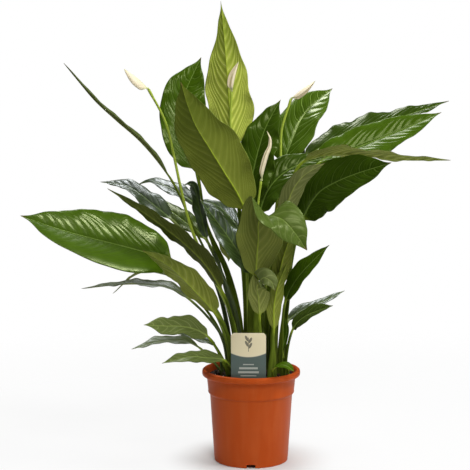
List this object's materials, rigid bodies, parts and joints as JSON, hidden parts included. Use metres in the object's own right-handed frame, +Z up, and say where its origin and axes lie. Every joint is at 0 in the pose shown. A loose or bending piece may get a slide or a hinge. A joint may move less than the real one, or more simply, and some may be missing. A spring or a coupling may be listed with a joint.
{
  "type": "potted peace lily",
  "caption": "Leafy house plant with long-stalked pointed leaves and white hooded flowers, growing in a round nursery pot.",
  "frame": {"origin": "middle of the pot's underside, on the surface that the pot stands on", "axes": "+Z up, -Y towards the front, where the label stands, +X to the right seen from the front"},
  "size_m": [0.7325, 0.4132, 0.7902],
  "materials": {
    "pot_plastic": "satin moulded",
    "soil": "crumbly",
    "label_card": "smooth",
    "leaf": "waxy",
    "flower_stalk": "waxy",
    "spathe": "satin",
    "spadix": "matte"
  },
  "bodies": {
    "root": {"nursery_pot": "pot_plastic", "potting_soil": "soil", "plant_label": "label_card", "leaf_tall": "leaf", "leaf_broad_front": "leaf", "leaf_back_left_high": "leaf", "leaf_centre_back": "leaf", "leaf_right_high": "leaf", "leaf_far_right_upper": "leaf", "leaf_far_right_lower": "leaf", "leaf_right_flat": "leaf", "leaf_right_dark": "leaf", "leaf_right_inner": "leaf", "leaf_right_grey": "leaf", "leaf_front_folded": "leaf", "leaf_small_right": "leaf", "leaf_small_folded": "leaf", "leaf_low_right_a": "leaf", "leaf_low_right_b": "leaf", "leaf_great_left": "leaf", "leaf_left_under": "leaf", "leaf_left_long": "leaf", "leaf_thin_high_left": "leaf", "leaf_back_left_a": "leaf", "leaf_back_left_b": "leaf", "leaf_left_inner": "leaf", "leaf_striped": "leaf", "leaf_silver_back": "leaf", "leaf_low_left_long": "leaf", "leaf_low_left_behind": "leaf", "leaf_low_left_broad": "leaf", "leaf_low_left_edge": "leaf", "leaf_low_left_back": "leaf", "leaf_rim_left": "leaf", "leaf_right_olive": "leaf", "leaf_right_strip": "leaf", "leaf_low_right_c": "leaf", "leaf_rim_right": "leaf", "leaf_back_right_tip": "leaf", "leaf_back_left_low": "leaf", "leaf_rear_left": "leaf", "leaf_rear_right": "leaf", "flower_a_stalk": "flower_stalk", "flower_a_spathe": "spathe", "flower_a_spadix": "spadix", "flower_b_stalk": "flower_stalk", "flower_b_spathe": "spathe", "flower_b_spadix": "spadix", "flower_c_stalk": "flower_stalk", "flower_c_spathe": "spathe", "flower_c_spadix": "spadix", "flower_d_stalk": "flower_stalk", "flower_d_spathe": "spathe", "flower_d_spadix": "spadix"}
  },
  "joints": []
}
